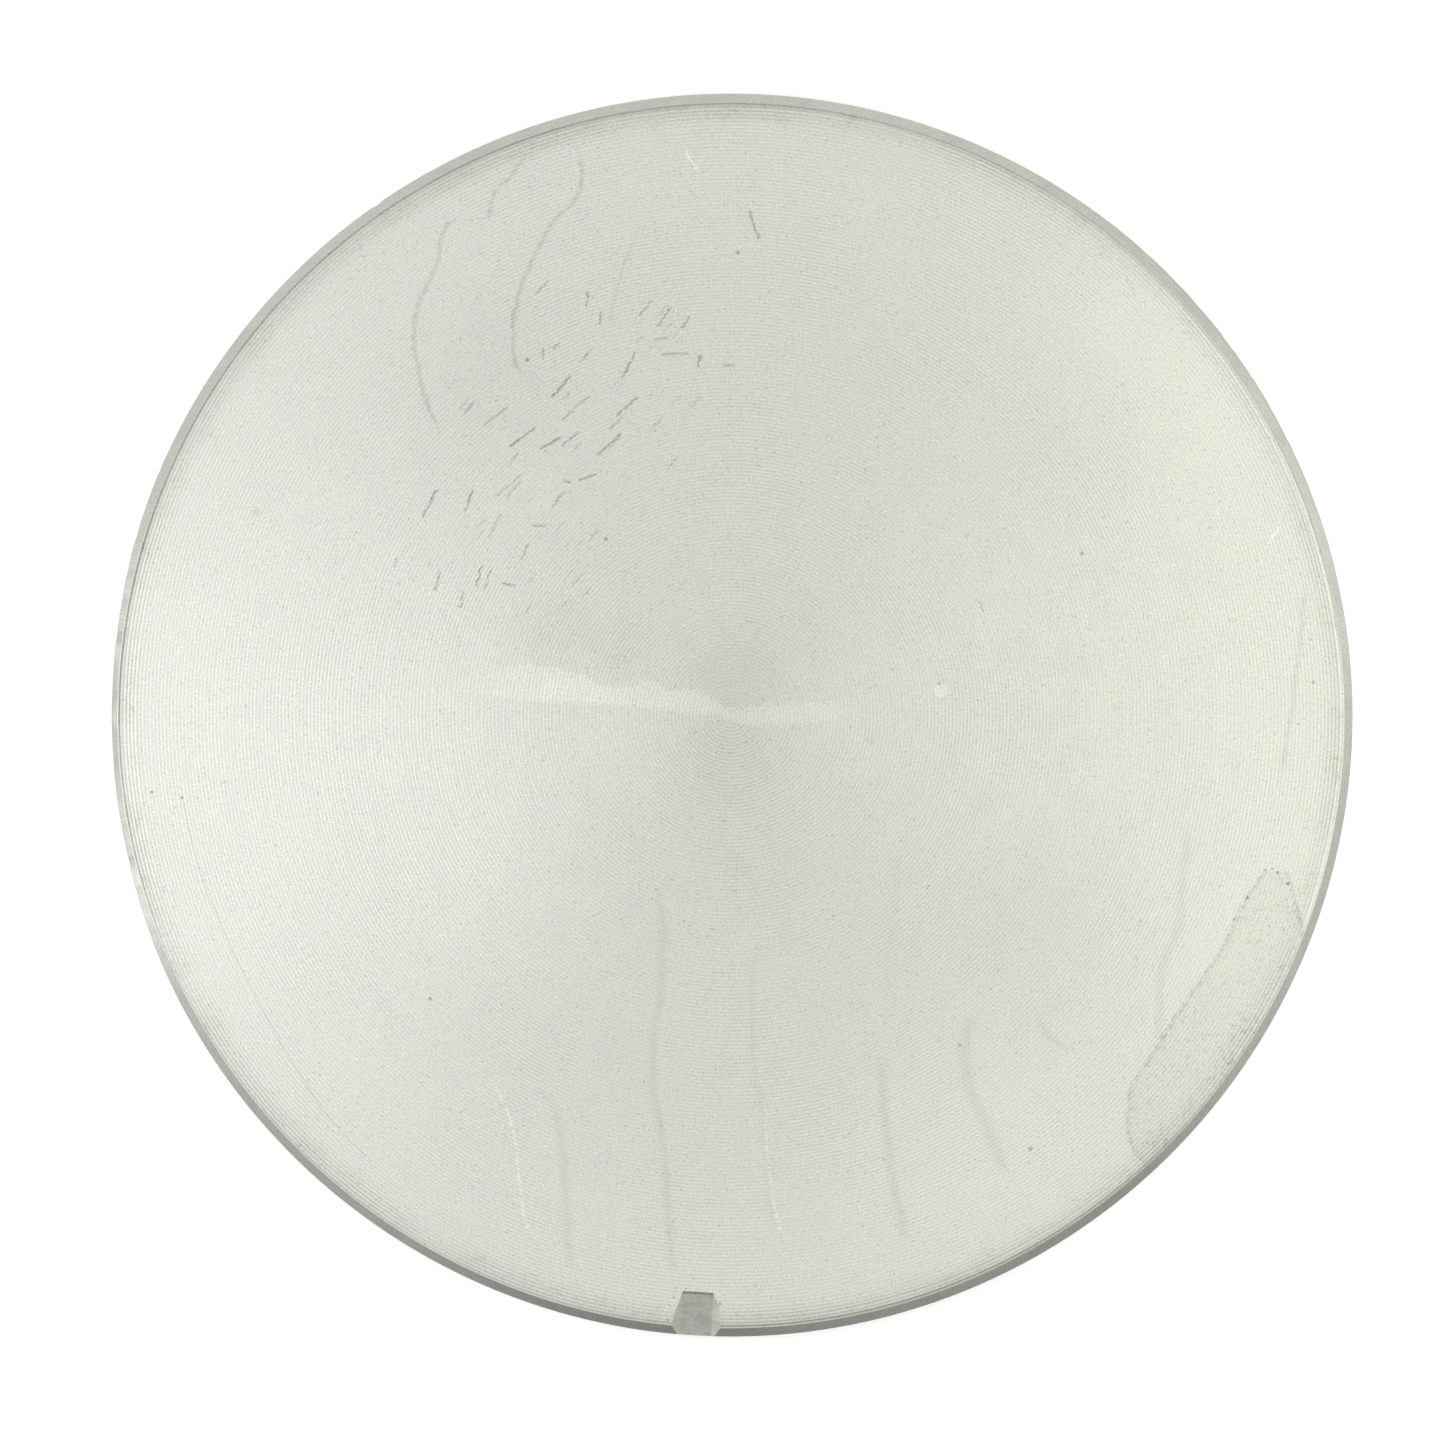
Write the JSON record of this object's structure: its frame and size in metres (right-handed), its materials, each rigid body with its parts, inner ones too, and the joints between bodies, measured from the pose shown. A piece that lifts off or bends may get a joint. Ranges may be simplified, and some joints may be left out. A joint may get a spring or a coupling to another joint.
{
  "type": "watch glass",
  "caption": "Flat round opaque disc with fine concentric turning marks on its face, a narrow chamfered rim and one small sloping notch cut into its edge.",
  "frame": {"origin": "centre of the flat underside, on the disc's axis", "axes": "+Z from the underside to the turned face, -Y towards the rim notch"},
  "size_m": [0.07, 0.07, 0.003],
  "materials": {
    "turned_metal": "satin, face-turned, with light stains and scratches"
  },
  "bodies": {
    "root": {"disc": "turned_metal"}
  },
  "joints": []
}
